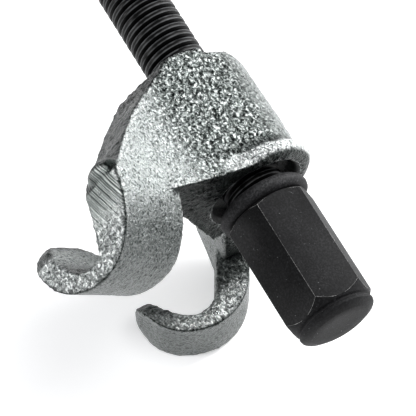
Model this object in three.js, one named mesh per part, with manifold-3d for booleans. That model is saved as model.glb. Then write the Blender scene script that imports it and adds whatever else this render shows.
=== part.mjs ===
// Screw-type coil spring compressor: a threaded spindle with a hexagon drive head, a plain jaw that
// the spindle turns in, and a travelling jaw that the thread draws towards it. Each jaw is a boss with
// two swept arms, and each arm ends in a J-shaped hook that holds one turn of the spring.
// Millimetres. The tool lies on the flat outer sides of its lower hooks, spindle along X, head at +X.
import * as THREE from 'three';
import { mergeVertices } from 'three/addons/utils/BufferGeometryUtils.js';
import Module from 'manifold-3d';

const wasm = await Module();
wasm.setup();

// ---- driving dimensions ----
const GAP = 0.3;                 // clearance between neighbouring pieces
const SPINDLE_RADIUS = 8;        // thread crest
const SPINDLE_LENGTH = 345;      // from the head's end face to the far tip
const HEAD_FLATS = 21;           // hexagon, across flats
const HEAD_LENGTH = 34.7;
const HEAD_SOCKET_FLOOR = 9;     // the spindle is seated in the head from here
const WASHER_RADIUS = 12.1;
const WASHER_THICKNESS = 3.7;
const BOSS_START = 41;           // boss underside, from the head's end face
const BOSS_LENGTH = 35.8;
const BOSS_RADIUS = 15.5;        // at the underside; the casting's draft takes 1 mm off it
const BOSS_DRAFT = 1;
const PLAIN_BORE_RADIUS = 8.6;
const RECESS_RADIUS = 11.7;
const RECESS_DEPTH = 4.5;
const TOE_IN = 21;               // degrees that each arm sweeps forward, and each hook turns inward
// Each arm and its hook: the hook's two sides measured along the arm, the arm's thickness, the tip's
// height. The lower one is slimmer; the tool rests on its outer side.
const UPPER_ARM = { inner: 30.2, outer: 53.2, thickness: 11.5, tip: 46.5 };
const LOWER_ARM = { inner: 33.2, outer: 50.4, thickness: 8.5, tip: 43 };
const HOOK_ROOT = 46;            // height where the hook's back runs into the arm
const FILLET_LENGTH = 24;        // how far up the boss the arm's back is filled in
const WEB_FRONT = 17;            // flat front of the casting between the arms
const WEB_HALF_WIDTH = 11;
const TRAVEL_START = 252;        // near end of the travelling jaw's boss at rest
const STOP_WASHER_RADIUS = 13;
const STOP_WASHER_THICKNESS = 3;
const RING_GROOVE_START = 336;
const RING_GROOVE_WIDTH = 1.8;
const RING_GROOVE_RADIUS = 7;
const RING_THICKNESS = 1.2;
const RING_RADIUS = 9.6;
const RING_GAP_HALF_ANGLE = 20;  // degrees
const LUG_RADIUS = 2;
const LUG_HOLE_RADIUS = 0.8;     // for circlip pliers
const LUG_REACH = 10;            // from the axis to the lug's middle
const ROUND_SEGMENTS = 48;

// ---- finishes ----
const blackOxide = { color: 0x222223, roughness: 0.45, metalness: 0.8 };
const phosphate = { color: 0x303133, roughness: 0.6, metalness: 0.6 };
const zincCasting = { color: 0xb4bab7, roughness: 0.5, metalness: 0.8 };
const springSteel = { color: 0x4a4a4c, roughness: 0.4, metalness: 0.9 };

// ---- solids: three.js shapes, joined and cut ----
function toSolid(geometry) {
  const bare = new THREE.BufferGeometry();
  bare.setAttribute('position', geometry.getAttribute('position'));
  bare.setIndex(geometry.getIndex());
  const merged = mergeVertices(bare, 1e-5);
  return new wasm.Manifold(new wasm.Mesh({
    numProp: 3,
    vertProperties: Float32Array.from(merged.getAttribute('position').array),
    triVerts: Uint32Array.from(merged.getIndex().array),
  }));
}

function toGeometry(solid) {
  const mesh = solid.getMesh();
  const geometry = new THREE.BufferGeometry();
  geometry.setAttribute('position', new THREE.BufferAttribute(mesh.vertProperties, 3));
  geometry.setIndex(new THREE.BufferAttribute(mesh.triVerts, 1));
  geometry.computeVertexNormals();
  return geometry;
}

function part(name, solid, finish) {
  const mesh = new THREE.Mesh(toGeometry(solid), new THREE.MeshStandardMaterial(finish));
  mesh.name = name;
  return mesh;
}

// A turned solid about the spindle's axis from (radius, height) points.
function turned(points, segments = ROUND_SEGMENTS) {
  const profile = points.map(([radius, height]) => new THREE.Vector2(radius, height));
  const geometry = new THREE.LatheGeometry(profile, segments);
  geometry.rotateX(Math.PI / 2);
  return toSolid(geometry);
}

function cylinder(radius, start, end, segments = ROUND_SEGMENTS) {
  return turned([[0, start], [radius, start], [radius, end], [0, end]], segments);
}

function ring(inner, outer, start, end, round = 0.4) {
  return turned([
    [inner, start], [outer - round, start], [outer, start + round],
    [outer, end - round], [outer - round, end], [inner, end], [inner, start],
  ]);
}

// ---- pieces on the spindle's axis; height runs from the head's end face to the far end ----
function spindle() {
  const start = HEAD_SOCKET_FLOOR + GAP;
  const groove = SPINDLE_RADIUS - RING_GROOVE_RADIUS;
  const radius = SPINDLE_RADIUS;
  return turned([
    [0, start], [radius - 1, start], [radius, start + 1],
    [radius, RING_GROOVE_START], [radius - groove, RING_GROOVE_START],
    [radius - groove, RING_GROOVE_START + RING_GROOVE_WIDTH],
    [radius, RING_GROOVE_START + RING_GROOVE_WIDTH],
    [radius, SPINDLE_LENGTH - 1.5], [radius - 1.5, SPINDLE_LENGTH], [0, SPINDLE_LENGTH],
  ]);
}

// A hexagon prism inside a turned envelope: domed end disc, groove, collar and both chamfers.
function driveHead() {
  const corner = HEAD_FLATS / Math.sqrt(3);
  const prism = new THREE.CylinderGeometry(corner, corner, HEAD_LENGTH, 6);
  prism.rotateX(Math.PI / 2);
  prism.translate(0, 0, HEAD_LENGTH / 2);
  const envelope = turned([
    [0, 0], [7.5, 0], [9.3, 0.5], [10.3, 1.8], [9.9, 2.3], [9.9, 2.8], [10.35, 3.1],
    [corner + 0.2, 5.8], [corner + 0.2, 33], [10.4, HEAD_LENGTH], [0, HEAD_LENGTH],
  ]);
  const socket = cylinder(SPINDLE_RADIUS + GAP, HEAD_SOCKET_FLOOR, HEAD_LENGTH + 1);
  return toSolid(prism).intersect(envelope).subtract(socket);
}

// ---- jaws; x is forward towards the spring, y across, z along the spindle towards the other jaw ----

// The hook seen from the side: forward distance against height. A curved back, a round nose, and a
// throat one spring wire wide.
function hookOutline({ thickness, tip }) {
  const outline = new THREE.Shape();
  outline.moveTo(0, HOOK_ROOT);
  outline.bezierCurveTo(2, 36, 8, 27.2, 18, 27.2);
  outline.bezierCurveTo(26, 27.2, 32, 31.5, 33.3, 38);
  outline.bezierCurveTo(34.5, tip - 2.5, 34.5, tip, 32.5, tip);
  outline.bezierCurveTo(30, tip, 29.5, tip - 2.5, 28.5, tip - 5.5);
  outline.bezierCurveTo(27, 36, 24, 32, 19.5, 32);
  outline.bezierCurveTo(15, 32, 14, 37, thickness, HOOK_ROOT);
  outline.closePath();
  return outline;
}

// The arm seen from the front: distance across against height. Its top falls away to the hook.
function armOutline({ inner, outer }) {
  const top = BOSS_START + BOSS_LENGTH;
  const outline = new THREE.Shape();
  outline.moveTo(0, BOSS_START);
  outline.lineTo(inner - 4, BOSS_START);
  outline.quadraticCurveTo(inner, BOSS_START, inner, HOOK_ROOT);
  outline.lineTo(outer, HOOK_ROOT);
  outline.bezierCurveTo(44, 55, 32, 65, 16, top);
  outline.lineTo(0, top);
  outline.closePath();
  return outline;
}

// Fills the hollow between the boss's back and the arm's back, seen along the spindle.
function filletOutline() {
  const outline = new THREE.Shape();
  outline.moveTo(-12, 9);
  outline.quadraticCurveTo(-5, 20, 0.5, 32);
  outline.lineTo(2, 20);
  outline.lineTo(-4, 6);
  outline.closePath();
  return outline;
}

// Everything outside the rounded end of the hook's tongue, seen from the front.
function tongueCutter({ inner, outer, tip }) {
  const left = inner - 1;
  const right = outer + 1;
  const shoulder = tip - 10;
  const outline = new THREE.Shape();
  outline.moveTo(left, shoulder);
  outline.bezierCurveTo(left + 3, tip + 3, right - 3, tip + 3, right, shoulder);
  outline.lineTo(right, tip + 5);
  outline.lineTo(left, tip + 5);
  outline.closePath();
  const cutter = new THREE.ExtrudeGeometry(outline, { depth: 20, bevelEnabled: false, curveSegments: 10 });
  cutter.rotateX(Math.PI / 2);
  cutter.rotateZ(Math.PI / 2);
  cutter.translate(23, 0, 0);
  return toSolid(cutter);
}

// One arm with its hook. side is 1 or -1.
function armAndHook(side, size) {
  const hook = new THREE.ExtrudeGeometry(hookOutline(size), {
    depth: size.outer - size.inner, bevelEnabled: false, curveSegments: 7,
  });
  hook.rotateX(Math.PI / 2);
  hook.translate(0, size.outer, 0);
  const arm = new THREE.ExtrudeGeometry(armOutline(size), {
    depth: size.thickness, bevelEnabled: false, curveSegments: 8,
  });
  arm.rotateX(Math.PI / 2);
  arm.rotateZ(Math.PI / 2);
  const fillet = new THREE.ExtrudeGeometry(filletOutline(), {
    depth: FILLET_LENGTH, bevelEnabled: false, curveSegments: 5,
  });
  fillet.translate(0, 0, BOSS_START);
  const tongue = toSolid(hook).subtract(tongueCutter(size));
  const solid = toSolid(arm).add(tongue).add(toSolid(fillet)).rotate([0, 0, -TOE_IN]);
  return side > 0 ? solid : solid.mirror([0, 1, 0]);
}

function boss() {
  const bottom = BOSS_START;
  const top = BOSS_START + BOSS_LENGTH;
  const topRadius = BOSS_RADIUS - BOSS_DRAFT;
  return turned([
    [0, bottom], [BOSS_RADIUS - 2.4, bottom], [BOSS_RADIUS - 0.7, bottom + 0.8], [BOSS_RADIUS, bottom + 2.6],
    [topRadius, top - 4.5], [topRadius - 1.3, top - 1.4], [topRadius - 4, top], [0, top],
  ]);
}

function jaw(boreRadius, recessed) {
  const top = BOSS_START + BOSS_LENGTH;
  const web = new THREE.BoxGeometry(WEB_FRONT, WEB_HALF_WIDTH * 2, BOSS_LENGTH);
  web.translate(WEB_FRONT / 2, 0, BOSS_START + BOSS_LENGTH / 2);
  let solid = boss().add(toSolid(web));
  solid = solid.add(armAndHook(1, UPPER_ARM)).add(armAndHook(-1, LOWER_ARM));
  solid = solid.subtract(cylinder(boreRadius, BOSS_START - 5, top + 5));
  if (recessed) {
    solid = solid.subtract(cylinder(RECESS_RADIUS, BOSS_START - 5, BOSS_START + RECESS_DEPTH));
  }
  return solid;
}

function travellingJaw() {
  const facing = jaw(SPINDLE_RADIUS + GAP, false).mirror([0, 0, 1]);
  return facing.translate([0, 0, TRAVEL_START + BOSS_LENGTH + BOSS_START]);
}

// External circlip: an open ring with two lugs.
function retainingRing() {
  const start = RING_GROOVE_START + (RING_GROOVE_WIDTH - RING_THICKNESS) / 2;
  const gapHalf = THREE.MathUtils.degToRad(RING_GAP_HALF_ANGLE);
  const inner = RING_GROOVE_RADIUS + GAP;
  const shape = new THREE.Shape();
  shape.absarc(0, 0, RING_RADIUS, gapHalf, Math.PI * 2 - gapHalf, false);
  shape.absarc(0, 0, inner, Math.PI * 2 - gapHalf, gapHalf, true);
  shape.closePath();
  const geometry = new THREE.ExtrudeGeometry(shape, {
    depth: RING_THICKNESS, bevelEnabled: false, curveSegments: 36,
  });
  geometry.translate(0, 0, start);
  let solid = toSolid(geometry);
  for (const side of [-1, 1]) {
    const angle = side * (gapHalf + Math.asin(LUG_RADIUS / LUG_REACH));
    const [x, y] = [LUG_REACH * Math.cos(angle), LUG_REACH * Math.sin(angle)];
    const lug = new THREE.CylinderGeometry(LUG_RADIUS, LUG_RADIUS, RING_THICKNESS, 16);
    lug.rotateX(Math.PI / 2);
    lug.translate(x, y, start + RING_THICKNESS / 2);
    const hole = new THREE.CylinderGeometry(LUG_HOLE_RADIUS, LUG_HOLE_RADIUS, RING_THICKNESS * 3, 12);
    hole.rotateX(Math.PI / 2);
    hole.translate(x, y, start);
    solid = solid.add(toSolid(lug)).subtract(toSolid(hole));
  }
  return solid.subtract(cylinder(inner, start - 2, start + 4));
}

const washerStart = HEAD_LENGTH + GAP;
const stopStart = RING_GROOVE_START - GAP - STOP_WASHER_THICKNESS;

// The tool is laid on its side, so that the lower hooks' outer faces are level.
const tool = new THREE.Group();
tool.rotation.set(THREE.MathUtils.degToRad(90 + TOE_IN), -Math.PI / 2, 0, 'XYZ');
tool.add(
  part('spindle', spindle(), blackOxide),
  part('drive_head', driveHead(), phosphate),
  part('thrust_washer', ring(SPINDLE_RADIUS + GAP, WASHER_RADIUS, washerStart,
    washerStart + WASHER_THICKNESS, 1), springSteel),
  part('plain_jaw', jaw(PLAIN_BORE_RADIUS, true), zincCasting),
  part('travelling_jaw', travellingJaw(), zincCasting),
  part('stop_washer', ring(SPINDLE_RADIUS + GAP, STOP_WASHER_RADIUS, stopStart,
    stopStart + STOP_WASHER_THICKNESS), springSteel),
  part('retaining_ring', retainingRing(), springSteel),
);

// The origin is the middle of the ground that the whole tool covers.
const extent = new THREE.Box3().setFromObject(tool, true);
tool.position.set(
  -(extent.min.x + extent.max.x) / 2, -(extent.min.y + extent.max.y) / 2, -extent.min.z,
);

const model = new THREE.Group();
model.add(tool);
export default model;
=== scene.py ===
# %% [markdown]
# # Coil spring compressor
# This tool squeezes the coil spring of a car's strut. One long screw, the spindle, runs through two
# cast jaws. A socket on the hexagon head turns the spindle in the plain jaw, and the thread pulls the
# travelling jaw towards it. Each jaw hooks one turn of the spring with two J-shaped hooks.
# The CAD model gives every size and every place. This notebook makes the finished surfaces around it:
# cast metal with its rounded corners and pits, a real helical thread, and worn black steel.

# %% Load the frame
import math

import bmesh
import bpy
from mathutils import Matrix, Vector, noise
from mathutils.geometry import interpolate_bezier


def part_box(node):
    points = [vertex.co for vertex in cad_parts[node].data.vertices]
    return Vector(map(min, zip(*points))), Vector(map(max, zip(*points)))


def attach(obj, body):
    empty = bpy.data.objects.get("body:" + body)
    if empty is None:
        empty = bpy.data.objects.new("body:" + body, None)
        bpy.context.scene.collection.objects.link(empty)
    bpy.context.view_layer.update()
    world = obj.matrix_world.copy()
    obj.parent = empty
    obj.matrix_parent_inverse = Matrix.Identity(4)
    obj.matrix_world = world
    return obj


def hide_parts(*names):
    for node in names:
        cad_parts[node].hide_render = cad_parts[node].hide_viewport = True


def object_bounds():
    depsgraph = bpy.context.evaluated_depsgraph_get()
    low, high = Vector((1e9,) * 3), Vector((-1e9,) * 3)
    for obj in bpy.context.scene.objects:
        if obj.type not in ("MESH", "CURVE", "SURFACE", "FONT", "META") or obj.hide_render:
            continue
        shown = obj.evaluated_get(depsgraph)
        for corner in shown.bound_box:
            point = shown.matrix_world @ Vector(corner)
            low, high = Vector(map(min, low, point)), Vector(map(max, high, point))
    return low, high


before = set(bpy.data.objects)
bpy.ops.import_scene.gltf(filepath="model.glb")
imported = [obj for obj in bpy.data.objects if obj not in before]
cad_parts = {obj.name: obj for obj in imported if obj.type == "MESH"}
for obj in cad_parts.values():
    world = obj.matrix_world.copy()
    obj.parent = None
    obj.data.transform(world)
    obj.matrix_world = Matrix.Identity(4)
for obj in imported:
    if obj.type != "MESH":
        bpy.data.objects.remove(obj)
cad_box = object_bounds()
print("CAD box", cad_box)

# %% [markdown]
# ## Where the tool's own axes lie
# The tool lies on its lower hooks, so its own directions are slanted in the scene. It is much easier
# to model with simple directions: x forward towards the spring, y across from hook to hook, and z
# along the spindle from the head's end face. One matrix then puts a finished mesh in its place, in
# metres. The place comes from the spindle's and the head's boxes.

# %% The tool's place
MM = 0.001
TOE_IN = math.radians(21)
spindle_low, spindle_high = (Vector(corner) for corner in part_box("spindle"))
head_low, head_high = (Vector(corner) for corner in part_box("drive_head"))
axis_point = (spindle_low + spindle_high) / 2
head_end = Vector((head_high.x, axis_point.y, axis_point.z))
LENGTH = (head_high.x - spindle_low.x) / MM
tool_place = (
    Matrix.Translation(head_end)
    @ Matrix.Rotation(math.radians(90) + TOE_IN, 4, "X")
    @ Matrix.Rotation(math.radians(-90), 4, "Y")
    @ Matrix.Scale(MM, 4)
)
print("head end", head_end, "tool length mm", round(LENGTH, 1))

# %% [markdown]
# ## Camera
# The camera stands over the bench and looks steeply down at the drive head, through a long lens so
# that the tool keeps its straight lines. It could be placed by hand, but an aim, two angles and a
# distance are easier to read and to change. It aims a little in front of the spindle, level with it,
# where the plain jaw starts.

# %% Camera
target = head_end + Vector((-0.043, -0.0125, 0))
azimuth, elevation, distance = math.radians(-29.8), math.radians(64.2), 0.6164
away = Vector((
    math.cos(elevation) * math.cos(azimuth),
    math.cos(elevation) * math.sin(azimuth),
    math.sin(elevation),
))
camera = bpy.data.objects.new("camera", bpy.data.cameras.new("camera"))
camera.data.lens = 216.3
camera.data.sensor_width = 36
camera.data.clip_start = 0.01
camera.location = target + away * distance
turn = (-away).to_track_quat("-Z", "Y").to_matrix().to_4x4()
roll = Matrix.Rotation(math.radians(0.6), 4, "Z")
camera.matrix_world = Matrix.Translation(camera.location) @ turn @ roll
bpy.context.collection.objects.link(camera)
bpy.context.scene.camera = camera
print("camera at", camera.location)

# %% [markdown]
# ## Light and floor
# Bare metal shows what is around it more than its own colour. Large soft lamps give broad bright
# bands, and a darker room gives the dark tones between them. The main lamp stands behind the tool on
# the right, so the shadow falls forward to the left. Each lamp is placed from the camera's aim, and
# turned to look at it.

# %% Lamps and room
def lamp(name, place, size, power):
    light = bpy.data.lights.new(name, "AREA")
    light.shape = "DISK"
    light.size = size
    light.energy = power
    holder = bpy.data.objects.new(name, light)
    holder.location = target + Vector(place)
    holder.rotation_euler = (target - holder.location).to_track_quat("-Z", "Y").to_euler()
    bpy.context.collection.objects.link(holder)


lamp("main_lamp", (-0.25, 1.1, 0.85), 0.6, 21)
lamp("side_lamp", (-0.15, 1.0, 0.12), 0.4, 6)
lamp("overhead_lamp", (0.25, 0.25, 1.5), 0.9, 10)
lamp("low_lamp", (-0.5, -1.15, 0.4), 0.3, 9)

room = bpy.data.worlds.new("room")
room.use_nodes = True
room_light = room.node_tree.nodes["Background"]
room_light.inputs["Color"].default_value = (0.93, 0.95, 1.0, 1)
room_light.inputs["Strength"].default_value = 0.3
bpy.context.scene.world = room
bpy.context.scene.view_settings.view_transform = "Standard"

# %% [markdown]
# ## Floor
# The tool rests on its lower hooks, so the floor is a flat sheet at the lowest corner of the CAD box.
# A grid of one face is enough for something flat.

# %% Floor
floor_mesh = bmesh.new()
bmesh.ops.create_grid(floor_mesh, x_segments=1, y_segments=1, size=3)
floor = bpy.data.objects.new("floor", bpy.data.meshes.new("floor"))
floor_mesh.to_mesh(floor.data)
floor.location.z = cad_box[0][2]
bpy.context.collection.objects.link(floor)
print("floor at", floor.location.z)

# %% [markdown]
# ## Material helpers
# Colours are picked as hex values, as on a screen, and turned to linear light once. One helper adds a
# node, sets it and links it, so each material below reads as a list of layers. Its stops are the
# positions and colours of a colour ramp, for the nodes that have one. A Mix node's inputs go by
# number: 0 is the factor, 2 and 3 are the two numbers to mix, and 6 and 7 the two colours.

# %% Colour and node helpers
def paint(hex_code):
    """Turns a hex colour into linear light."""
    channels = [int(hex_code[i:i + 2], 16) / 255 for i in (1, 3, 5)]
    linear = [c / 12.92 if c <= 0.04045 else ((c + 0.055) / 1.055) ** 2.4 for c in channels]
    return (*linear, 1.0)


def grey(value):
    return (value, value, value, 1)


def add(tree, kind, inputs=None, stops=(), **settings):
    """Adds one node. An input is a value or another node's output, and an int or a name finds it."""
    node = tree.nodes.new(kind)
    for name, value in settings.items():
        setattr(node, name, value)
    for socket, value in (inputs or {}).items():
        if isinstance(value, bpy.types.NodeSocket):
            tree.links.new(value, node.inputs[socket])
        else:
            node.inputs[socket].default_value = value
    for _ in stops[2:]:
        node.color_ramp.elements.new(0.5)
    for number, (position, color) in enumerate(stops):
        node.color_ramp.elements[number].position = position
        node.color_ramp.elements[number].color = color
    return node


def blank_material(name, metallic, roughness):
    material = bpy.data.materials.new(name)
    material.use_nodes = True
    shader = material.node_tree.nodes["Principled BSDF"]
    shader.inputs["Metallic"].default_value = metallic
    shader.inputs["Roughness"].default_value = roughness
    return material, material.node_tree, shader


def per_mm(size):
    """The scale of a pattern whose grains are this many mm across."""
    return 1 / (size * MM)


print("helpers ready, mid grey is", [round(channel, 3) for channel in paint("#808080")])

# %% [markdown]
# ## Material: pale paper
# The sheet under the tool is matt coated paper. It scatters light evenly in every direction, so it
# shows no highlight, only the soft shadow. A little light of its own keeps its far parts as pale as
# the part below the lamps, as a lit backdrop would.

# %% Pale paper
floor_material, _, floor_shader = blank_material("pale_paper", metallic=0.0, roughness=0.9)
floor_shader.inputs["Base Color"].default_value = paint("#FAFAFA")
floor_shader.inputs["Emission Color"].default_value = paint("#FFFFFF")
floor_shader.inputs["Emission Strength"].default_value = 0.35
floor.data.materials.append(floor_material)
print("made", floor_material.name)

# %% [markdown]
# ## Material: zinc-plated rough casting
# The jaws are steel castings, shot-blasted and then bright zinc plated. The plating copies the sand's
# pits, about 1 mm apart on the boss and finer on the arms, so the eye sees glittering silver specks
# between dark hollows. The mesh carries the larger pits, and the bump below carries the finer grain.
# Five attributes of the mesh say where each finish and each painted light lies: pitting, 1 where the
# pits are coarse; ground, 1 on the patch where a feeder was ground off; grind, the way along its
# scratches; the painted shade, 1 on faces whose colour is darkened to stand in for shade; and edge,
# above 0 where a corner stands out and is painted lighter, partly as rubbing and partly as a painted
# highlight, and below 0 in inward corners, which are painted darker as shade.

# %% Zinc: patterns
def zinc_patterns(tree):
    """The casting's grain, by name. Sizes are the real ones in mm, but no finer than can be seen."""
    place = add(tree, "ShaderNodeTexCoord").outputs["Object"]
    # Two of these attributes carry painted light: the painted shade, and edge for lighter and darker
    # corners.
    patterns = {
        name: add(tree, "ShaderNodeAttribute", attribute_name=name).outputs["Fac"]
        for name in ("pitting", "painted_shade", "ground", "grind", "edge")
    }
    patterns["pits"] = add(tree, "ShaderNodeTexNoise", {
        "Vector": place, "Scale": per_mm(0.8), "Detail": 2.5, "Roughness": 0.6, "Distortion": 0.6,
    }).outputs["Fac"]
    patterns["grain"] = add(tree, "ShaderNodeTexNoise", {
        "Vector": place, "Scale": per_mm(0.62), "Detail": 2.0, "Roughness": 0.65, "Distortion": 0.3,
    }).outputs["Fac"]
    patterns["patches"] = add(tree, "ShaderNodeTexNoise", {
        "Vector": place, "Scale": per_mm(9), "Detail": 3.0,
    }).outputs["Fac"]
    patterns["scratches"] = add(tree, "ShaderNodeTexNoise", {
        "W": patterns["grind"], "Scale": 2.2, "Detail": 2.0,
    }, noise_dimensions="1D").outputs["Fac"]
    return patterns


print("zinc patterns ready, pit scale", round(per_mm(0.8)))

# %% [markdown]
# ## Zinc: colour
# A bump alone would leave the hollows too bright, because a small lamp still reaches into them. So the
# colour follows the same patterns as the bump, as painted shade in the hollows of the pits and the
# grain and as painted glints on their tops. Each layer is multiplied over the last: after the grain
# come painted shade on whole faces, and corners painted lighter outside and darker inside.

# %% Zinc: colour
def zinc_color(tree, patterns):
    """Painted shade and glints in the grain, painted shade on faces, painted corner light and shade."""
    # Painted shade in the pits' hollows and painted glints on their tops.
    pit_shade_and_glint = add(tree, "ShaderNodeValToRGB", {"Fac": patterns["pits"]}, stops=(
        (0.36, paint("#121514")), (0.46, paint("#535856")), (0.55, paint("#9A9F9D")),
        (0.66, paint("#F6F8F7")),
    )).outputs["Color"]
    # The same for the finer grain: painted shade where it is low, painted glints where it is high.
    grain_shade_and_glint = add(tree, "ShaderNodeValToRGB", {"Fac": patterns["grain"]}, stops=(
        (0.33, paint("#3C413F")), (0.43, paint("#BCC1BF")), (0.6, paint("#FAFBFB")),
    )).outputs["Color"]
    grind_color = add(tree, "ShaderNodeValToRGB", {"Fac": patterns["scratches"]}, stops=(
        (0.35, paint("#4A4F4D")), (0.6, paint("#C9CECB")),
    )).outputs["Color"]
    rough_color = add(tree, "ShaderNodeMix", {
        0: patterns["pitting"], 6: grain_shade_and_glint, 7: pit_shade_and_glint,
    }, data_type="RGBA").outputs[2]
    color = add(tree, "ShaderNodeMix", {
        0: patterns["ground"], 6: rough_color, 7: grind_color,
    }, data_type="RGBA").outputs[2]
    # Painted shade: faces marked in the mesh are darkened to stand in for shade.
    painted_shade_tone = add(tree, "ShaderNodeValToRGB", {"Fac": patterns["painted_shade"]}, stops=(
        (0.0, paint("#FFFFFF")), (1.0, paint("#454A48")),
    )).outputs["Color"]
    toned = add(tree, "ShaderNodeMix", {
        0: 1.0, 6: color, 7: painted_shade_tone,
    }, data_type="RGBA", blend_type="MULTIPLY").outputs[2]
    # Corners: lighter outside, partly as rubbing and partly as a painted highlight, and darker inside
    # as painted shade.
    stands_out = add(tree, "ShaderNodeMath", {
        0: patterns["edge"], 1: 6.0, 2: 0.5,
    }, operation="MULTIPLY_ADD").outputs[0]
    rubbed = add(tree, "ShaderNodeValToRGB", {"Fac": stands_out}, stops=(
        (0.2, paint("#5E6361")), (0.5, paint("#CED1D0")), (0.75, paint("#FFFFFF")),
    )).outputs["Color"]
    return add(tree, "ShaderNodeMix", {
        0: 1.0, 6: toned, 7: rubbed,
    }, data_type="RGBA", blend_type="MULTIPLY").outputs[2]


print("zinc colours ready, brightest speck", [round(channel, 2) for channel in paint("#F6F8F7")])

# %% [markdown]
# ## Zinc: bump and gloss
# The bump's distances are real heights: under a millimetre for pits and a fifth of that for grain.
# The gloss changes slowly over patches 9 mm across, as a plating bath leaves it.

# %% Zinc: bump and gloss
def zinc_bump(tree, patterns):
    """Pits or grain by place, scratches on the ground patch, and fine grain under them all."""
    rough_height = add(tree, "ShaderNodeMix", {
        0: patterns["pitting"], 2: patterns["grain"], 3: patterns["pits"],
    }).outputs[0]
    height = add(tree, "ShaderNodeMix", {
        0: patterns["ground"], 2: rough_height, 3: patterns["scratches"],
    }).outputs[0]
    fine = add(tree, "ShaderNodeBump", {
        "Height": patterns["grain"], "Distance": 0.2 * MM, "Strength": 1.0,
    }).outputs["Normal"]
    return add(tree, "ShaderNodeBump", {
        "Height": height, "Distance": 0.8 * MM, "Strength": 1.0, "Normal": fine,
    }).outputs["Normal"]


zinc_casting, tree, shader = blank_material("zinc_plated_casting", metallic=1.0, roughness=0.4)
patterns = zinc_patterns(tree)
gloss = add(tree, "ShaderNodeValToRGB", {"Fac": patterns["patches"]}, stops=(
    (0.3, grey(0.27)), (0.7, grey(0.4)),
)).outputs["Color"]
tree.links.new(zinc_color(tree, patterns), shader.inputs["Base Color"])
tree.links.new(gloss, shader.inputs["Roughness"])
tree.links.new(zinc_bump(tree, patterns), shader.inputs["Normal"])
print("made", zinc_casting.name, "with", len(tree.nodes), "nodes")

# %% [markdown]
# ## Material: black phosphated steel
# The head is machined steel with a matt black phosphate coat, a layer of tiny crystals soaked with oil.
# It scatters light softly. Handling rubs its corners through to greyer steel, so a second material
# covers just the bevelled edges. The washers are hardened steel left grey-black from the quench. The
# machined bores are painted nearly black, as painted shade inside the holes. All four are one layer of
# dark crystals in different greys, so one function makes them.

# %% Phosphated steel and its worn edges
def make_phosphate(name, dark, light, roughness):
    """Clouded black between two colours, with half-mm crystals, grey dust specks and a soft bump."""
    material, tree, shader = blank_material(name, metallic=0.0, roughness=roughness)
    shader.inputs["Specular IOR Level"].default_value = 0.125
    place = add(tree, "ShaderNodeTexCoord").outputs["Object"]
    crystals = add(tree, "ShaderNodeTexNoise", {
        "Vector": place, "Scale": per_mm(0.5), "Detail": 3.0, "Roughness": 0.7,
    }).outputs["Fac"]
    clouds = add(tree, "ShaderNodeTexNoise", {
        "Vector": place, "Scale": per_mm(7), "Detail": 4.0,
    }).outputs["Fac"]
    dust = add(tree, "ShaderNodeTexNoise", {
        "Vector": place, "Scale": per_mm(0.6), "Detail": 3.0,
    }).outputs["Fac"]
    base = add(tree, "ShaderNodeValToRGB", {"Fac": clouds}, stops=(
        (0.3, paint(dark)), (0.7, paint(light)),
    )).outputs["Color"]
    sparkle = add(tree, "ShaderNodeValToRGB", {"Fac": crystals}, stops=(
        (0.35, grey(0.45)), (0.5, grey(1)), (0.68, grey(2.4)),
    )).outputs["Color"]
    grained = add(tree, "ShaderNodeMix", {
        0: 1.0, 6: base, 7: sparkle,
    }, data_type="RGBA", blend_type="MULTIPLY").outputs[2]
    specks = add(tree, "ShaderNodeValToRGB", {"Fac": dust}, stops=(
        (0.7, grey(0)), (0.78, grey(1)),
    )).outputs["Color"]
    dusty = add(tree, "ShaderNodeMix", {
        0: specks, 6: grained, 7: paint("#77787A"),
    }, data_type="RGBA").outputs[2]
    bump = add(tree, "ShaderNodeBump", {
        "Height": crystals, "Distance": 0.06 * MM, "Strength": 0.7,
    }).outputs["Normal"]
    tree.links.new(dusty, shader.inputs["Base Color"])
    tree.links.new(bump, shader.inputs["Normal"])
    return material


phosphate = make_phosphate("black_phosphated_steel", "#0F0F10", "#19191A", 0.6)
worn_phosphate = make_phosphate("worn_phosphate_edge", "#3C3C3C", "#A2A2A0", 0.45)
washer_steel = make_phosphate("hardened_washer_steel", "#1C1C1D", "#2C2C2D", 0.62)
# Nearly black, as painted shade inside the jaws' bores and recesses.
bore_painted_shade = make_phosphate("bore_painted_shade_steel", "#1E1F1F", "#3C3E3D", 0.5)
print("made", phosphate.name, worn_phosphate.name, washer_steel.name, bore_painted_shade.name)

# %% [markdown]
# ## Material: oiled black screw steel
# The spindle's thread is rolled and black-oxided, and it is kept oiled, so it is nearly black with
# soft gloss. Only the corners of each crest are rubbed grey. The mesh marks those corners with an
# attribute called wear.

# %% Oiled screw steel
screw_steel, tree, shader = blank_material("oiled_black_screw_steel", metallic=0.0, roughness=0.4)
shader.inputs["Specular IOR Level"].default_value = 0.09
place = add(tree, "ShaderNodeTexCoord").outputs["Object"]
wear = add(tree, "ShaderNodeAttribute", attribute_name="wear").outputs["Fac"]
streaks = add(tree, "ShaderNodeTexNoise", {
    "Vector": place, "Scale": per_mm(3), "Detail": 3.0,
}).outputs["Fac"]
rubbed = add(tree, "ShaderNodeMath", {0: wear, 1: streaks}, operation="MULTIPLY").outputs[0]
color = add(tree, "ShaderNodeValToRGB", {"Fac": rubbed}, stops=(
    (0.0, paint("#030303")), (0.25, paint("#060606")), (0.5, paint("#4C4D4E")),
)).outputs["Color"]
gloss = add(tree, "ShaderNodeValToRGB", {"Fac": streaks}, stops=(
    (0.3, grey(0.32)), (0.7, grey(0.48)),
)).outputs["Color"]
bump = add(tree, "ShaderNodeBump", {
    "Height": streaks, "Distance": 0.05 * MM, "Strength": 0.5,
}).outputs["Normal"]
tree.links.new(color, shader.inputs["Base Color"])
tree.links.new(gloss, shader.inputs["Roughness"])
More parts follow.
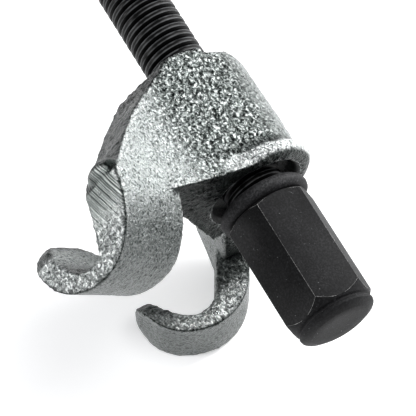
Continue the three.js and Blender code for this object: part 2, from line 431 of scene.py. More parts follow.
tree.links.new(bump, shader.inputs["Normal"])
print("made", screw_steel.name)

# %% [markdown]
# ## Modelling helpers
# Round pieces are made as on a lathe: a half profile is spun about the spindle. Flat-sided pieces are
# made as a sheet cut to an outline and then drawn out to its thickness. Curved outlines are Bezier
# segments, each with two handles and an end. A profile is a list of radius and height in mm, and an
# outline is a list of x and y, so both can be read beside a drawing.

# %% Lathe
def lathe(profile, steps=72):
    """Spins a half profile of radius and height about the spindle."""
    shape = bmesh.new()
    points = [shape.verts.new((radius, 0, height)) for radius, height in profile]
    edges = [shape.edges.new(pair) for pair in zip(points, points[1:])]
    bmesh.ops.spin(
        shape, geom=points + edges, cent=(0, 0, 0), axis=(0, 0, 1),
        angle=math.tau, steps=steps, use_merge=True,
    )
    bmesh.ops.remove_doubles(shape, verts=shape.verts, dist=1e-4)
    bmesh.ops.recalc_face_normals(shape, faces=shape.faces)
    return shape


print("lathe ready")

# %% [markdown]
# ## Outlines
# Text and tables of points are hard to read as a shape, so an outline is written as a few straight
# and curved segments. Two quarter turns then stand a sheet up, seen from the side or from the front.

# %% Curved outlines and sheets
def curve(start, *segments, smoothness=10):
    """Points along an outline. A segment of one knot is straight, and one of three is a Bezier."""
    points = [Vector((*start, 0))]
    for segment in segments:
        knots = [Vector((*knot, 0)) for knot in segment]
        if len(knots) == 1:
            points.append(knots[0])
        else:
            points += interpolate_bezier(points[-1], *knots, smoothness)[1:]
    return points


def sheet(points, thickness):
    """Fills an outline and draws it out along z."""
    shape = bmesh.new()
    face = shape.faces.new([shape.verts.new(point) for point in points])
    drawn = bmesh.ops.extrude_face_region(shape, geom=[face])
    far_side = [item for item in drawn["geom"] if isinstance(item, bmesh.types.BMVert)]
    bmesh.ops.translate(shape, verts=far_side, vec=(0, 0, thickness))
    bmesh.ops.recalc_face_normals(shape, faces=shape.faces)
    return shape


def turn_up(shape):
    """Takes a sheet from x, y to x, z, drawn out towards -y."""
    quarter_turn = Matrix.Rotation(math.radians(90), 3, "X")
    bmesh.ops.rotate(shape, verts=shape.verts, matrix=quarter_turn)
    return shape


def face_sideways(shape):
    """Takes a sheet from x, y to y, z, drawn out towards x."""
    quarter_turn = Matrix.Rotation(math.radians(90), 3, "Z")
    bmesh.ops.rotate(turn_up(shape), verts=shape.verts, matrix=quarter_turn)
    return shape


def gather(shapes):
    """Puts several shapes into one, and frees them."""
    whole = bmesh.new()
    for shape in shapes:
        mesh = bpy.data.meshes.new("gathered")
        shape.to_mesh(mesh)
        whole.from_mesh(mesh)
        bpy.data.meshes.remove(mesh)
        shape.free()
    return whole


print("outline helpers ready")

# %% [markdown]
# ## From a shape to a piece
# A shape becomes an object with its place in its mesh, so the object itself stays at the origin. One
# piece cut with another is a boolean, and its result is applied at once, so no modifier is left.

# %% From a shape to a piece
def stand(name, shape, *materials):
    """Turns a shape in tool mm into an object in its place in the scene."""
    bmesh.ops.transform(shape, matrix=tool_place, verts=shape.verts)
    return loose(name, shape, *materials)


def loose(name, shape, *materials):
    """Turns a shape into an object as it is."""
    bmesh.ops.recalc_face_normals(shape, faces=shape.faces)
    mesh = bpy.data.meshes.new(name)
    shape.to_mesh(mesh)
    shape.free()
    piece = bpy.data.objects.new(name, mesh)
    bpy.context.collection.objects.link(piece)
    for material in materials:
        mesh.materials.append(material)
    return piece


def settle(piece):
    """Applies a piece's modifiers to its mesh."""
    bpy.context.view_layer.update()
    view = bpy.context.evaluated_depsgraph_get()
    finished = bpy.data.meshes.new_from_object(piece.evaluated_get(view))
    piece.modifiers.clear()
    piece.data = finished


def cut(piece, tool, operation="DIFFERENCE", solver="EXACT"):
    """Cuts a piece with another object, which is used up. New faces keep the tool's material."""
    change = piece.modifiers.new("cut", "BOOLEAN")
    change.object = tool
    change.operation = operation
    change.solver = solver
    change.material_mode = "TRANSFER"
    settle(piece)
    bpy.data.objects.remove(tool)


def smooth(piece, sharp_above=180):
    """Shades a piece smoothly, apart from edges sharper than an angle in degrees."""
    for polygon in piece.data.polygons:
        polygon.use_smooth = True
    if sharp_above < 180:
        piece.data.set_sharp_from_angle(angle=math.radians(sharp_above))


print("modelling helpers ready")

# %% [markdown]
# ## The jaw's cast body
# A jaw is one casting: a round boss, a flat web between two arms that sweep forward, and a J-shaped
# hook at the end of each arm. A caster's pattern has rounded corners everywhere, because sand can't
# hold a sharp one. So the parts are made sharp and overlapping, fused by a voxel remesh, and then
# smoothed until every corner has a radius of about 2 mm.

# %% Jaw sizes
BOSS_START, BOSS_LENGTH = 41, 35.8
BOSS_TOP = BOSS_START + BOSS_LENGTH
TRAVELLING_START = 252
HOOK_ROOT = 46
UPPER_ARM = {"inner": 30.2, "outer": 53.2, "thickness": 11.5, "tip": 47.2}
LOWER_ARM = {"inner": 33.2, "outer": 50.4, "thickness": 8.5, "tip": 43.7}
ARM_SLOPE = ((44, 55), (32, 65), (16, BOSS_TOP))
print("hook widths", [round(size["outer"] - size["inner"], 1) for size in (UPPER_ARM, LOWER_ARM)])

# %% [markdown]
# ## Hook
# A hook is a J seen from the side: it curls round the spring's wire and ends in a rounded tongue.
# A bar bent along a path would have the same thickness all along, but a real one is thick at the root
# and thin at the tip. So the side view is drawn, drawn out to the hook's width, and then the tongue's
# corners are cut away with a second outline from the front.

# %% Hook
def carve(shape, cutter):
    """Cuts one shape with another, before either is a piece."""
    piece, tool = loose("carved", shape), loose("carver", cutter)
    cut(piece, tool)
    carved = bmesh.new()
    carved.from_mesh(piece.data)
    bpy.data.objects.remove(piece)
    return carved


def beyond_the_tongue(inner, outer, tip):
    left, right, shoulder = inner - 1, outer + 1, tip - 10
    front = curve(
        (left, shoulder), ((left + 3, tip + 3.3), (right - 3, tip + 3.3), (right, shoulder)),
        ((right, tip + 6),), ((left, tip + 6),),
    )
    shape = face_sideways(sheet(front, 20))
    bmesh.ops.translate(shape, verts=shape.verts, vec=(23, 0, 0))
    return shape


def hook(inner, outer, thickness, tip):
    side = curve(
        (0, HOOK_ROOT),
        ((2, 36), (8, 27), (18, 27)),
        ((26, 27), (32, 31.5), (33.3, 38)),
        ((34.5, tip - 2.5), (34.5, tip), (32.5, tip)),
        ((30, tip), (29.5, tip - 2.5), (28.3, tip - 5.5)),
        ((27, 36), (24, 32), (19.5, 32)),
        ((15, 32), (14, 37), (thickness, HOOK_ROOT)),
    )
    shape = turn_up(sheet(side, outer - inner))
    bmesh.ops.translate(shape, verts=shape.verts, vec=(0, outer, 0))
    return carve(shape, beyond_the_tongue(inner, outer, tip))


print("hooks root at", HOOK_ROOT, "mm")

# %% [markdown]
# ## Arm
# The arm is the plate that joins the hook to the boss. Its far edge slopes in one sweep from the
# hook's outer corner up to the boss's top, so its front view is the shape to draw.

# %% Arm
def arm(inner, outer, thickness, tip):
    front = curve(
        (0, BOSS_START),
        ((inner - 4, BOSS_START),),
        ((inner, BOSS_START), (inner, 43), (inner, HOOK_ROOT)),
        ((outer, HOOK_ROOT),),
        ARM_SLOPE,
        ((0, BOSS_TOP),),
    )
    return face_sideways(sheet(front, thickness))


print("arm slopes to", ARM_SLOPE[-1])

# %% [markdown]
# ## Fillet between boss and arm
# Behind the plate the boss runs out into each arm in a hollow curve, which carries the load of the
# spring. The hollow is drawn from above and drawn out to the boss's height, and whatever rises past
# the arm's slope is cut away.

# %% Fillet between boss and arm
def above_the_arm(outer):
    front = curve(
        (outer + 1, HOOK_ROOT), ARM_SLOPE, ((5, BOSS_TOP + 1),),
        ((5, BOSS_TOP + 20),), ((outer + 20, BOSS_TOP + 20),), ((outer + 20, HOOK_ROOT),),
    )
    shape = face_sideways(sheet(front, 60))
    bmesh.ops.translate(shape, verts=shape.verts, vec=(-30, 0, 0))
    return shape


def fillet(outer):
    hollow = curve(
        (-12.5, 8), ((-9, 15), (-4, 22), (0.4, 34)), ((3, 34),), ((3, 20),), ((-4, 5),),
    )
    shape = sheet(hollow, BOSS_LENGTH)
    bmesh.ops.translate(shape, verts=shape.verts, vec=(0, 0, BOSS_START))
    return carve(shape, above_the_arm(outer))


print("fillet height", BOSS_LENGTH, "mm")

# %% [markdown]
# ## Feeder stub
# Metal flows into the mould through a feeder, which is broken off and ground down, and a rounded
# stump stays on the upper arm. A stretched ball, half sunk in the arm, becomes one once it is fused.

# %% Feeder stub
def feeder_stub():
    shape = bmesh.new()
    bmesh.ops.create_icosphere(shape, subdivisions=3, radius=1)
    bmesh.ops.scale(shape, verts=shape.verts, vec=(4.6, 2.6, 2.4))
    bmesh.ops.translate(shape, verts=shape.verts, vec=(5.2, 50.8, 48.6))
    return shape


print("feeder stub ready")

# %% [markdown]
# ## Boss, web and two wings
# The boss is turned: it has a bead round its lower rim, a waist above it, and a rounded top. The web
# is a block that fills the space between boss and arms. A wing is one arm with its hook and fillet,
# turned in by the toe-in angle, so that both hooks sit square on a round coil. The lower wing is
# mirrored, and its faces are reversed because a mirror turns a shape inside out.

# %% Boss, web and two wings
WEB_DEPTH, WEB_WIDTH = 17, 22


def cast_wing(side, sizes):
    parts = [hook(**sizes), arm(**sizes), fillet(sizes["outer"])]
    if side > 0:
        parts.append(feeder_stub())
    wing = gather(parts)
    bmesh.ops.rotate(wing, verts=wing.verts, matrix=Matrix.Rotation(-TOE_IN, 3, "Z"))
    if side < 0:
        bmesh.ops.scale(wing, verts=wing.verts, vec=(1, -1, 1))
        bmesh.ops.reverse_faces(wing, faces=wing.faces)
    return wing


def cast_body():
    wings = [cast_wing(side, sizes) for side, sizes in ((1, UPPER_ARM), (-1, LOWER_ARM))]
    boss = lathe([
        (0, 41), (13.8, 41), (15.9, 41.6), (16.9, 43), (16.5, 44.8), (14.5, 46.3), (14.9, 48),
        (14.5, 72), (13.4, 75.6), (10.5, 76.8), (0, 76.8),
    ])
    web = bmesh.new()
    bmesh.ops.create_cube(web, size=1)
    bmesh.ops.scale(web, verts=web.verts, vec=(WEB_DEPTH, WEB_WIDTH, BOSS_LENGTH))
    middle = (WEB_DEPTH / 2, 0, BOSS_START + BOSS_LENGTH / 2)
    bmesh.ops.translate(web, verts=web.verts, vec=middle)
    return gather([boss, web, *wings])


print("wings turned in by", round(math.degrees(TOE_IN)), "degrees")

# %% [markdown]
# ## Fused casting
# A voxel remesh joins everything that overlaps into one closed skin of half-millimetre faces. Booleans
# would join the parts too, but would leave every corner sharp. The smoothing after it rounds the
# corners, and ten rounds give the 2 mm that sand leaves.

# %% Fused casting
VOXEL = 0.5 * MM
SMOOTHING_ROUNDS = 10


def fuse(piece):
    remesh = piece.modifiers.new("fuse", "REMESH")
    remesh.mode = "VOXEL"
    remesh.voxel_size = VOXEL
    remesh.use_smooth_shade = True
    soften = piece.modifiers.new("soften", "SMOOTH")
    soften.factor = 0.5
    soften.iterations = SMOOTHING_ROUNDS
    settle(piece)


plain_jaw = stand("pattern", cast_body(), zinc_casting)
fuse(plain_jaw)
print("casting faces", len(plain_jaw.data.polygons))

# %% [markdown]
# ## Where corners stand out
# Outward corners of the casting are painted lighter, partly as rubbing and partly as a painted
# highlight, and inward ones are painted darker as shade. A corner is a place where a vertex stands away
# from the middle of its neighbours, so that distance is measured, and then averaged over a few rings,
# because a single vertex would only show the grain.

# %% Where corners stand out
from_tool = tool_place.inverted()


def smoothstep(low, high, value):
    """Rises from 0 at low to 1 at high, gently at both ends."""
    share = min(1, max(0, (value - low) / (high - low)))
    return share * share * (3 - 2 * share)


def bulge(shape, rounds):
    """How far each vertex stands out from its neighbours, in mm, averaged over a few rings."""
    stands_out = []
    for vertex in shape.verts:
        around = [edge.other_vert(vertex).co for edge in vertex.link_edges]
        middle = sum(around, Vector()) / len(around)
        stands_out.append((vertex.co - middle).dot(vertex.normal) / MM)
    for _ in range(rounds):
        stands_out = [
            sum(stands_out[edge.other_vert(vertex).index] for edge in vertex.link_edges)
            / len(vertex.link_edges)
            for vertex in shape.verts
        ]
    return stands_out


print("the tool's z is the scene's", [round(c) for c in from_tool.to_3x3().row[2].normalized()])

# %% [markdown]
# ## Where each finish lies
# The boss is coarse, because its sand was coarse. Undersides, faces turned away from the spindle,
# rising slopes and the outer curve of each hook are painted darker as shade, and the rim and the
# outward corners are painted lighter as highlights. Those rules need to know where a spot lies on its
# arm and which way it faces, so this is worked out first, in the arm's own directions, and for the far
# jaw as if it were the near one.

# %% Measures of one spot
def measure(spot, facing, far_jaw):
    """Where a spot lies on its jaw and which way it faces, in the arm's own directions."""
    height, rise = spot.z, facing.z
    if far_jaw:
        height, rise = TRAVELLING_START + BOSS_LENGTH + BOSS_START - spot.z, -facing.z
    side = 1 if spot.y > 0 else -1
    along_arm = abs(spot.y) * math.cos(TOE_IN) + spot.x * math.sin(TOE_IN)
    forward = spot.x * math.cos(TOE_IN) - abs(spot.y) * math.sin(TOE_IN)
    facing_forward = facing.x * math.cos(TOE_IN) - side * facing.y * math.sin(TOE_IN)
    facing_up = facing.y * math.cos(TOE_IN) + side * facing.x * math.sin(TOE_IN)
    from_throat = Vector((forward - 22, height - 40)).normalized()
    outer_curve = from_throat.dot(Vector((facing_forward, rise)))
    return height, rise, side, along_arm, forward, facing_up, outer_curve


print("a spot on the axis, at the boss, facing the head:",
      [round(value, 2) for value in measure(Vector((0, 0, BOSS_START)), Vector((0, 0, -1)), False)])

# %% [markdown]
# ## Finish at one spot
# Each rule is a product of gentle steps in the tool's own millimetres, so it can be moved by changing
# one pair of numbers. A painted mask would do it too, but it would need an image file.

# %% Finish at one spot
def skin_at(spot, facing, stands_out, far_jaw):
    """The material's five attributes at one spot of the casting."""
    height, rise, side, along_arm, forward, facing_up, outer_curve = measure(spot, facing, far_jaw)
    radius = math.hypot(spot.x, spot.y)
    if side > 0:
        upper_edge = smoothstep(49, 51, along_arm)
    else:
        upper_edge = smoothstep(30, 32, along_arm) * (1 - smoothstep(35, 37, along_arm))
    off_boss = smoothstep(15.5, 18, radius)
    on_boss = (1 - smoothstep(22, 34, radius)) * (1 - 0.75 * smoothstep(11, 16, -spot.x))
    beside_rim = 1 - smoothstep(18, 22, radius)
    rim = (1 - smoothstep(1.2, 2.4, abs(height - 43))) * beside_rim
    rim_groove = (1 - smoothstep(0.6, 1.8, abs(height - 46.6))) * beside_rim
    hook_side = (
        smoothstep(0.5, 0.8, facing_up) * (1 - smoothstep(38, 46, height))
        * smoothstep(17, 24, along_arm)
    )
    ledge = smoothstep(0.25, 0.6, rise) * off_boss
    lower_hook_back = (
        smoothstep(0.2, 0.6, facing_up) * smoothstep(16, 22, -spot.y)
        * smoothstep(30, 38, height) * (1 - smoothstep(44, 48, height))
    )
    upper_band = (
        smoothstep(0.2, 0.4, facing_up) * smoothstep(0.2, 0.4, outer_curve) * upper_edge
        * (1 - smoothstep(52, 56, height))
    )
    ground = (
        smoothstep(51.6, 52.6, along_arm) * smoothstep(34, 42, height)
        * (1 - smoothstep(54, 58, height)) * smoothstep(0.8, 2, forward)
        * (1 - smoothstep(12, 14, forward))
    )
    return {
        "pitting": max(
            0.12, on_boss * smoothstep(39, 41, height) * (1 - 0.4 * rim), 0.8 * hook_side,
            0.55 * ledge,
        ),
        "ground": ground,
        "grind": forward - height * 0.3,
        # Edge: corners lighter outside, partly rubbing and partly painted highlight, and darker inside
        # as painted shade; the rim bead and the hooks' sides get a little painted highlight.
        "edge": stands_out + 0.04 * rim + 0.05 * hook_side,
        # Painted shade, darkening that stands in for shade: the hooks' outer curves low down, the lower
        # hook's back, the band at the upper hook's edge, the rim groove, the boss's back, rising
        # slopes, undersides and forward faces.
        "painted_shade": max(
            0.7 * (1 - smoothstep(31, 46, height)) * smoothstep(0.2, 0.7, outer_curve),
            0.9 * lower_hook_back,
            upper_band,
            0.55 * rim_groove,
            0.4 * smoothstep(9, 14, -spot.x) * smoothstep(46, 48, height),
            ledge,
            smoothstep(0.5, 0.85, -rise) * smoothstep(40, 41, height),
            0.6 * smoothstep(0.3, 0.7, facing.x) * off_boss,
        ),
    }


sample = skin_at(Vector((-15, 0, 60)), Vector((-1, 0, 0)), 0, False)
print("on the boss's side:", {name: round(value, 2) for name, value in sample.items()})

# %% [markdown]
# ## Cast skin
# Sand leaves hollows and lumps that real light finds at once, so they are moved in the mesh itself,
# and not only drawn by the material. Three kinds of noise are added along each vertex's normal: a
# slow waviness, 9 mm across, the 1 mm pits of the boss, and fine grit everywhere but on the ground
# patch. The new places are kept aside until the end, so that every normal is the smooth casting's.

# %% Pits in the mesh
WAVE_HEIGHT, PIT_HEIGHT, SMALL_PIT_HEIGHT, GRIT_HEIGHT = 0.3, 0.36, 0.2, 0.08


def cast_skin(piece, far_jaw):
    shape = bmesh.new()
    shape.from_mesh(piece.data)
    shape.normal_update()
    shape.verts.index_update()
    # Among these layers, one holds painted shade, and edge holds painted corner light and shade.
    layers = {name: shape.verts.layers.float.new(name)
              for name in ("pitting", "painted_shade", "ground", "grind", "edge")}
    stands_out = bulge(shape, 3)
    turn_to_tool = from_tool.to_3x3()
    places = []
    for vertex in shape.verts:
        spot = from_tool @ vertex.co
        facing = (turn_to_tool @ vertex.normal).normalized()
        skin = skin_at(spot, facing, stands_out[vertex.index], far_jaw)
        for name, layer in layers.items():
            vertex[layer] = skin[name]
        wave = noise.noise(spot / 9) * WAVE_HEIGHT
        pit = noise.noise(spot / 1.1) * PIT_HEIGHT
        pit += noise.noise(spot / 0.8 + Vector((9, 3, 5))) * SMALL_PIT_HEIGHT
        grit = noise.noise(spot / 0.9 + Vector((31, 7, 2))) * GRIT_HEIGHT * (1 - skin["ground"])
        places.append(vertex.co + vertex.normal * (wave + pit * skin["pitting"] + grit) * MM)
    for vertex, place in zip(shape.verts, places):
        vertex.co = place
    shape.to_mesh(piece.data)
    shape.free()


print("deepest pit about", WAVE_HEIGHT + PIT_HEIGHT + SMALL_PIT_HEIGHT + GRIT_HEIGHT, "mm")

# %% [markdown]
# ## The travelling jaw's casting
# Both jaws come from one pattern, and the far one faces the other way along the spindle. A copy is
# mirrored through its mesh before it gets its own pits, so that the two aren't mirror images in
# their grain. A mirror turns a shape inside out, so its faces are flipped back.

# %% Second casting
travelling_jaw = plain_jaw.copy()
travelling_jaw.data = plain_jaw.data.copy()
bpy.context.collection.objects.link(travelling_jaw)
flip = (
    tool_place @ Matrix.Translation((0, 0, TRAVELLING_START + BOSS_LENGTH + BOSS_START))
    @ Matrix.Scale(-1, 4, (0, 0, 1)) @ from_tool
)
travelling_jaw.data.transform(flip)
travelling_jaw.data.flip_normals()
print("second casting's faces", len(travelling_jaw.data.polygons))

# %% [markdown]
# ## Bores
# The bores are machined after casting, so they are cut last, through the pits, and their walls are
# smooth. Their material is nearly black, as painted shade inside the holes. The plain jaw has a
# clearance hole with a shallow, wider recess in its underside. The travelling jaw's hole has a short
# chamfer at each end. Its thread is hidden by the spindle, so it is a plain hole.

# %% Bores
def finish_jaw(name, piece, far_jaw, cutter_profile):
    cast_skin(piece, far_jaw)
    # The cutter's material is painted shade on the bore's and recess's walls.
    cut(piece, stand("bore_cutter", lathe(cutter_profile, 96), bore_painted_shade))
    piece.name = name
    smooth(piece, 55)
    print(name, "faces", len(piece.data.polygons))


finish_jaw("plain_jaw_casting", plain_jaw, False, [
    (0, 30), (13.6, 30), (12.8, 41.1), (12.0, 41.7), (11.7, 42.6), (11.7, 45.1), (11.3, 45.5),
    (9.2, 45.5), (8.6, 46.1), (8.6, 75.6), (9.8, 76.9), (9.8, 90), (0, 90),
])
finish_jaw("travelling_jaw_casting", travelling_jaw, True, [
    (0, 240), (9.6, 240), (9.6, 251.9), (8.3, 253.2), (8.3, 286.5), (9.6, 287.9), (9.6, 300),
    (0, 300),
])

# %% [markdown]
# ## Spindle
# The screw is the heart of the tool: about 16 mm over its crests, with 2.5 mm between turns. A
# texture could draw the thread, but its outline shows against the floor, so it is made in the mesh.
# One tooth, from root to root, is spun about the axis while each step also moves it along by a small
# part of the pitch, which draws a true helix. The wear attribute marks the corners of each crest.

# %% One turn of thread
PITCH = 2.5
STEPS = 40
SPINDLE_START = 9.3
TOOTH = (
    # radius, height, how rubbed
    (7.05, 0, 0), (7.82, 0.46, 0), (7.99, 0.68, 1), (8.0, 1.25, 0.1), (7.99, 1.82, 1),
    (7.82, 2.04, 0), (7.05, PITCH, 0),
)


def one_turn():
    """One turn of the thread, two turns below the rod's start."""
    shape = bmesh.new()
    wear = shape.verts.layers.float.new("wear")
    points = []
    for radius, height, rubbed in TOOTH:
        point = shape.verts.new((radius, 0, height + SPINDLE_START - 2 * PITCH))
        point[wear] = rubbed
        points.append(point)
    edges = [shape.edges.new(pair) for pair in zip(points, points[1:])]
    bmesh.ops.spin(
        shape, geom=points + edges, cent=(0, 0, 0), axis=(0, 0, 1),
        dvec=(0, 0, PITCH / STEPS), angle=math.tau, steps=STEPS,
    )
    return shape


print("one turn rises", PITCH, "mm in", STEPS, "steps")

# %% [markdown]
# ## Threaded rod
# The one turn is copied along the rod, a little past both ends, and the copies are joined by merging
# the points where they meet. The rod is then cut square at its two ends, and each end is closed.

# %% Threaded rod
def end_off(shape, height, keep_above):
    """Cuts a rod square at a height and closes the end."""
    bmesh.ops.bisect_plane(
        shape, geom=shape.verts[:] + shape.edges[:] + shape.faces[:], dist=1e-5,
        plane_co=(0, 0, height), plane_no=(0, 0, 1),
        clear_inner=keep_above, clear_outer=not keep_above,
    )
    rim = [
        edge for edge in shape.edges
        if edge.is_boundary and all(abs(vertex.co.z - height) < 1e-3 for vertex in edge.verts)
    ]
    bmesh.ops.edgeloop_fill(shape, edges=rim)


def threaded_rod():
    shape = one_turn()
    turn_faces = shape.verts[:] + shape.edges[:] + shape.faces[:]
    for turn_number in range(1, math.ceil((LENGTH - SPINDLE_START) / PITCH) + 4):
        copied = bmesh.ops.duplicate(shape, geom=turn_faces)
        bmesh.ops.translate(
            shape, vec=(0, 0, PITCH * turn_number),
            verts=[item for item in copied["geom"] if isinstance(item, bmesh.types.BMVert)],
        )
    bmesh.ops.remove_doubles(shape, verts=shape.verts, dist=0.01)
    end_off(shape, SPINDLE_START, keep_above=True)
    end_off(shape, LENGTH, keep_above=False)
    bmesh.ops.recalc_face_normals(shape, faces=shape.faces)
    return shape


spindle = stand("threaded_spindle", threaded_rod(), screw_steel)
print("rod faces", len(spindle.data.polygons))

# %% [markdown]
# ## Spindle's ends and groove
# The envelope is what a turning tool would leave: a wide cylinder with a narrow groove and a chamfer.
# What the two share is kept. The end face is flat, so it isn't shaded smoothly, and it has no wear.

# %% Spindle's ends and groove
GROOVE_START, GROOVE_END, GROOVE_RADIUS = 336, 337.8, 7
ENVELOPE_RADIUS = 9
CHAMFER_LENGTH, CHAMFER_RADIUS = 2.6, 6.2
# The envelope stops just short of the rod's end, because two faces in one plane confuse a boolean.
ROD_END = LENGTH - 0.001

cut(spindle, stand("envelope", lathe([
    (0, SPINDLE_START - 1), (ENVELOPE_RADIUS, SPINDLE_START - 1),
    (ENVELOPE_RADIUS, GROOVE_START), (GROOVE_RADIUS, GROOVE_START),
    (GROOVE_RADIUS, GROOVE_END), (ENVELOPE_RADIUS, GROOVE_END),
    (ENVELOPE_RADIUS, LENGTH - CHAMFER_LENGTH), (CHAMFER_RADIUS, ROD_END), (0, ROD_END),
])), "INTERSECT")
for polygon in spindle.data.polygons:
    polygon.use_smooth = abs(polygon.normal.x) < 0.99
spindle.data.set_sharp_from_angle(angle=math.radians(40))
wear = spindle.data.attributes["wear"].data
for vertex in spindle.data.vertices:
    if vertex.co.x - spindle_low.x < 0.1 * MM:
        wear[vertex.index].value = 0
print("spindle faces", len(spindle.data.polygons))

# %% [markdown]
# ## Drive head
# A long hexagon, 21 mm across its flats, is chamfered at both ends on a lathe, so each flat ends in an
# arc. The end carries a narrow collar, a groove and a domed disc. The arcs would be hard to draw by
# hand, but they come by themselves when a hexagonal prism is cut by the turned envelope.

# %% Drive head
HEAD_LENGTH = 34.7
ACROSS_FLATS = 21
CORNER = ACROSS_FLATS / math.sqrt(3)


def hexagon_prism():
    shape = bmesh.new()
    bmesh.ops.create_circle(shape, cap_ends=True, segments=6, radius=CORNER)
    rise = bmesh.ops.extrude_face_region(shape, geom=shape.faces[:])
    top = [item for item in rise["geom"] if isinstance(item, bmesh.types.BMVert)]
    bmesh.ops.translate(shape, verts=top, vec=(0, 0, HEAD_LENGTH))
    bmesh.ops.recalc_face_normals(shape, faces=shape.faces)
    return shape


head = stand("hexagon_drive_head", hexagon_prism(), phosphate)
cut(head, stand("head_envelope", lathe([
    (0, 0.15), (5, 0.1), (7.7, 0), (8.0, 0.12), (9.7, 0.85), (10.15, 1.3), (10.3, 1.85), (10.1, 2.2),
    (9.75, 2.4), (9.7, 2.7), (9.95, 2.95), (10.25, 3.1), (10.4, 3.35), (CORNER + 0.3, 5.9),
    (CORNER + 0.3, 33.0), (10.2, HEAD_LENGTH), (8.3, HEAD_LENGTH), (8.3, 9), (0, 9),
], 96)), "INTERSECT")
print("head faces", len(head.data.polygons))

# %% [markdown]
# ## Worn edges of the head
# A socket rubs the hexagon's edges, so just those get a small bevel, and the new faces are given the
# worn material. The collar, the disc and the inner end are left alone, because nothing touches them.

# %% Worn edges of the head
WORN_START, WORN_END = 3.6, 34
EDGE_WIDTH = 0.16 * MM
SHARP = math.radians(14)
WORN_SLOT = 1


def is_rubbed(edge):
    if len(edge.link_faces) != 2 or edge.calc_face_angle(0) <= SHARP:
        return False
    depth = (head_end.x - (edge.verts[0].co.x + edge.verts[1].co.x) / 2) / MM
    return WORN_START < depth < WORN_END


def bevel_rubbed_edges(piece):
    shape = bmesh.new()
    shape.from_mesh(piece.data)
    bmesh.ops.remove_doubles(shape, verts=shape.verts, dist=1e-6)
    bmesh.ops.dissolve_limit(
        shape, angle_limit=math.radians(1), verts=shape.verts, edges=shape.edges,
    )
    bevelled = bmesh.ops.bevel(
        shape, geom=[edge for edge in shape.edges if is_rubbed(edge)], offset=EDGE_WIDTH,
        offset_type="OFFSET", affect="EDGES", segments=2, profile=0.5, material=-1,
        clamp_overlap=True,
    )
    for face in bevelled["faces"]:
        face.material_index = WORN_SLOT
    shape.to_mesh(piece.data)
    shape.free()


head.data.materials.clear()
head.data.materials.append(phosphate)
head.data.materials.append(worn_phosphate)
bevel_rubbed_edges(head)
smooth(head, 28)
worn_faces = sum(polygon.material_index == WORN_SLOT for polygon in head.data.polygons)
print("head faces after bevel", len(head.data.polygons), "worn", worn_faces)

# %% [markdown]
# ## Thrust washer
# It takes the spindle's whole pull, so it is a thick hardened ring. Its rim is fully rounded, which a
# turned profile of six short steps shows well enough once it is shaded smoothly.

# %% Thrust washer
HOLE = 8.3
WASHER_START, WASHER_END = 35.0, 38.7

thrust_washer = stand("thrust_washer_ring", lathe([
    (HOLE, 35.3), (8.6, WASHER_START), (10.2, WASHER_START), (11.2, 35.25), (11.9, 35.9),
    (12.1, 36.85), (11.9, 37.8), (11.2, 38.45), (10.2, WASHER_END), (8.6, WASHER_END),
    (HOLE, 38.4), (HOLE, 35.3),
], 96), washer_steel)
smooth(thrust_washer)
print("thrust washer faces", len(thrust_washer.data.polygons))

# %% [markdown]
# ## Stop washer
# It keeps the travelling jaw from leaving the spindle. It is a plain flat washer, so its profile is a
# rectangle with small chamfers, and its flat faces are kept flat by marking the sharper edges.

# %% Stop washer
STOP_START, STOP_END, STOP_RADIUS, STOP_CHAMFER = 332.7, 335.7, 13, 0.4

stop_washer = stand("stop_washer_ring", lathe([
    (HOLE, 333.0), (8.6, STOP_START), (STOP_RADIUS - STOP_CHAMFER, STOP_START),
    (STOP_RADIUS, 333.1), (STOP_RADIUS, 335.3), (STOP_RADIUS - STOP_CHAMFER, STOP_END),
    (8.6, STOP_END), (HOLE, 335.4), (HOLE, 333.0),
], 96), washer_steel)
smooth(stop_washer, 30)
print("stop washer faces", len(stop_washer.data.polygons))

# %% [markdown]
# ## Retaining ring
# A spring clip sits in the spindle's groove and holds the stop washer. It is a turned band with a gap
# cut out by a wedge, and at each side of the gap a round lug with a hole for the pliers that open it.
# The lugs are a hair thicker than the band, because two faces in one plane confuse a boolean. All the
# tools are closed and simple, so the quick solver, which keeps a mesh closed, does the cuts.

# %% Retaining ring
CLIP_LOW, CLIP_HIGH = 336.3, 337.5
CLIP_INNER, CLIP_OUTER = 7.3, 9.6
CLIP_GAP = math.radians(20)
LUG_CIRCLE, LUG_RADIUS, LUG_HOLE, LUG_PROUD = 10, 2, 0.8, 0.03
LUG_ANGLE = CLIP_GAP + math.asin(LUG_RADIUS / LUG_CIRCLE)
WEDGE_REACH, WEDGE_THICKNESS, MARGIN = 14, 4, 1


def upright(radius, low, high, at):
    """A round pin along the spindle, its middle at one angle on the lug circle."""
    shape = lathe([(0, low), (radius, low), (radius, high), (0, high)], 32)
    middle = (LUG_CIRCLE * math.cos(at), LUG_CIRCLE * math.sin(at), 0)
    bmesh.ops.translate(shape, verts=shape.verts, vec=middle)
    return shape


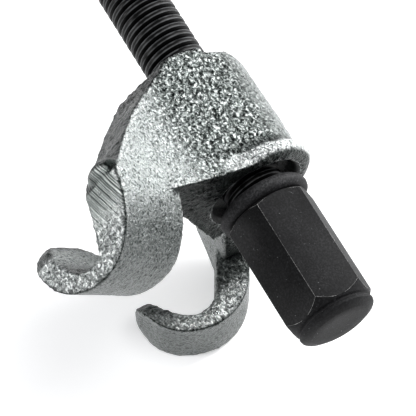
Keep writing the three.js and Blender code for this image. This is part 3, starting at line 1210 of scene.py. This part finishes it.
retaining_ring = stand("retaining_clip", lathe([
    (CLIP_INNER, CLIP_LOW), (CLIP_OUTER, CLIP_LOW), (CLIP_OUTER, CLIP_HIGH),
    (CLIP_INNER, CLIP_HIGH), (CLIP_INNER, CLIP_LOW),
]), washer_steel)
corner = Vector((WEDGE_REACH * math.cos(CLIP_GAP), WEDGE_REACH * math.sin(CLIP_GAP), 0))
wedge = sheet([Vector((0, 0, 0)), Vector((corner.x, -corner.y, 0)), corner], WEDGE_THICKNESS)
bmesh.ops.translate(wedge, verts=wedge.verts, vec=(0, 0, CLIP_LOW - MARGIN))
cut(retaining_ring, stand("clip_gap", wedge, washer_steel), solver="MANIFOLD")
for side in (-1, 1):
    lug = upright(LUG_RADIUS, CLIP_LOW - LUG_PROUD, CLIP_HIGH + LUG_PROUD, side * LUG_ANGLE)
    cut(retaining_ring, stand("lug", lug, washer_steel), "UNION", solver="MANIFOLD")
    hole = upright(LUG_HOLE, CLIP_LOW - MARGIN, CLIP_HIGH + MARGIN, side * LUG_ANGLE)
    cut(retaining_ring, stand("plier_hole", hole, washer_steel), solver="MANIFOLD")
clip_size = [round(side / MM, 2) for side in retaining_ring.dimensions]
print("clip faces", len(retaining_ring.data.polygons), "size mm", clip_size)

# %% [markdown]
# ## Tie the pieces to the CAD bodies
# Every finished piece takes the place of its CAD node and moves with that node's body. The head and the
# retaining ring ride on the spindle, because they turn with it.

# %% Bodies, nodes and slots
for piece, body, node, slot in (
    (spindle, "spindle", "spindle", "black_spindle_steel"),
    (head, "spindle", "drive_head", "phosphated_steel"),
    (thrust_washer, "thrust_washer", "thrust_washer", "hardened_washer_steel"),
    (plain_jaw, "plain_jaw", "plain_jaw", "zinc_plated_casting"),
    (travelling_jaw, "travelling_jaw", "travelling_jaw", "zinc_plated_casting"),
    (stop_washer, "stop_washer", "stop_washer", "hardened_washer_steel"),
    (retaining_ring, "spindle", "retaining_ring", "hardened_washer_steel"),
):
    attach(piece, body)
    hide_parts(node)
